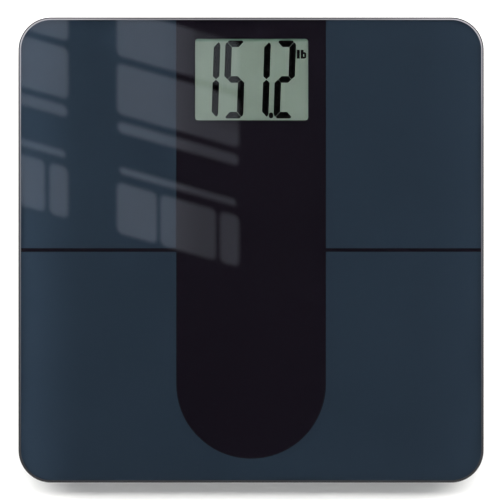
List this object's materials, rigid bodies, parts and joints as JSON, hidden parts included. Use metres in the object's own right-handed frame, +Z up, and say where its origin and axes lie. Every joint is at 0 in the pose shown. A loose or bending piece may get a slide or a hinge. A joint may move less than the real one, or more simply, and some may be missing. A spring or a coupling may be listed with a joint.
{
  "type": "digital bathroom scale",
  "caption": "Flat square bathroom scale with a back-printed glass platform, a window over a digital display, sprung feet on load cells and a battery door underneath.",
  "frame": {"origin": "middle of the footprint, at the underside of the foot pads", "axes": "+Z up, +Y from the middle towards the display, +X to the reader's right"},
  "size_m": [0.3, 0.3, 0.025],
  "materials": {
    "platform_glass": "polished, tempered",
    "blue_print": "printed on the back of the glass",
    "black_print": "printed on the back of the glass",
    "tape_foam": "closed-cell foam",
    "tray_plastic": "fine moulded grain",
    "foot_plastic": "moulded",
    "pad_rubber": "soft, non-slip",
    "cell_steel": "stamped and nickel plated",
    "gauge_sealant": "cured silicone",
    "wire_insulation": "soft plastic",
    "display_glass": "thin, polished",
    "display_film": "satin polarising film",
    "display_dark": "dark liquid-crystal bars",
    "display_reflector": "satin foil",
    "holder_plastic": "moulded",
    "strip_rubber": "layered rubber",
    "board_laminate": "solder mask over copper",
    "chip_resin": "cured resin",
    "part_bodies": "small ceramic and metal parts",
    "solder": "solder",
    "screw_steel": "zinc plated",
    "switch_case": "moulded",
    "button_plastic": "fine moulded grain",
    "contact_metal": "nickel plated",
    "cell_sleeve": "printed sleeve on a steel can"
  },
  "bodies": {
    "scale_base": {"glass_platform": "platform_glass", "printed_field_blue": "blue_print", "printed_panel_black": "black_print", "platform_tape": "tape_foam", "base_tray": "tray_plastic", "load_cell_front_left": "cell_steel", "gauge_cover_front_left": "gauge_sealant", "cell_wires_front_left": "wire_insulation", "load_cell_front_right": "cell_steel", "gauge_cover_front_right": "gauge_sealant", "cell_wires_front_right": "wire_insulation", "load_cell_rear_left": "cell_steel", "gauge_cover_rear_left": "gauge_sealant", "cell_wires_rear_left": "wire_insulation", "load_cell_rear_right": "cell_steel", "gauge_cover_rear_right": "gauge_sealant", "cell_wires_rear_right": "wire_insulation", "lcd_segments": "display_dark", "lcd_polariser": "display_film", "lcd_front_glass": "display_glass", "lcd_rear_glass": "display_glass", "lcd_reflector": "display_reflector", "lcd_holder": "holder_plastic", "zebra_strip": "strip_rubber", "main_board": "board_laminate", "board_chip": "chip_resin", "board_parts": "part_bodies", "solder_joints": "solder", "board_screws": "screw_steel", "unit_switch": "switch_case", "battery_cell_front": "cell_sleeve", "battery_cell_rear": "cell_sleeve", "positive_contact": "contact_metal", "negative_contact": "contact_metal", "bridge_contact": "contact_metal", "battery_wires": "wire_insulation"},
    "front_left_foot": {"foot_front_left": "foot_plastic", "foot_pad_front_left": "pad_rubber"},
    "front_right_foot": {"foot_front_right": "foot_plastic", "foot_pad_front_right": "pad_rubber"},
    "rear_left_foot": {"foot_rear_left": "foot_plastic", "foot_pad_rear_left": "pad_rubber"},
    "rear_right_foot": {"foot_rear_right": "foot_plastic", "foot_pad_rear_right": "pad_rubber"},
    "door": {"battery_door": "tray_plastic"},
    "button": {"unit_button": "button_plastic", "unit_switch_plunger": "switch_case"}
  },
  "joints": [
    {"name": "front_left_foot_press", "type": "slide", "parent": "scale_base", "child": "front_left_foot", "axis": [0, 0, 1], "range_m": [0, 0.0005], "stiffness_N_per_m": 1000, "springref_m": -0.005},
    {"name": "front_right_foot_press", "type": "slide", "parent": "scale_base", "child": "front_right_foot", "axis": [0, 0, 1], "range_m": [0, 0.0005], "stiffness_N_per_m": 1000, "springref_m": -0.005},
    {"name": "rear_left_foot_press", "type": "slide", "parent": "scale_base", "child": "rear_left_foot", "axis": [0, 0, 1], "range_m": [0, 0.0005], "stiffness_N_per_m": 1000, "springref_m": -0.005},
    {"name": "rear_right_foot_press", "type": "slide", "parent": "scale_base", "child": "rear_right_foot", "axis": [0, 0, 1], "range_m": [0, 0.0005], "stiffness_N_per_m": 1000, "springref_m": -0.005},
    {"name": "battery_door_hinge", "type": "hinge", "parent": "scale_base", "child": "door", "pos_m": [0, 0.0123, 0.0072], "axis": [1, 0, 0], "range_deg": [0, 95]},
    {"name": "unit_button_press", "type": "slide", "parent": "scale_base", "child": "button", "axis": [0, 0, 1], "range_m": [0, 0.0004], "stiffness_N_per_m": 4000, "springref_m": -0.0002}
  ]
}
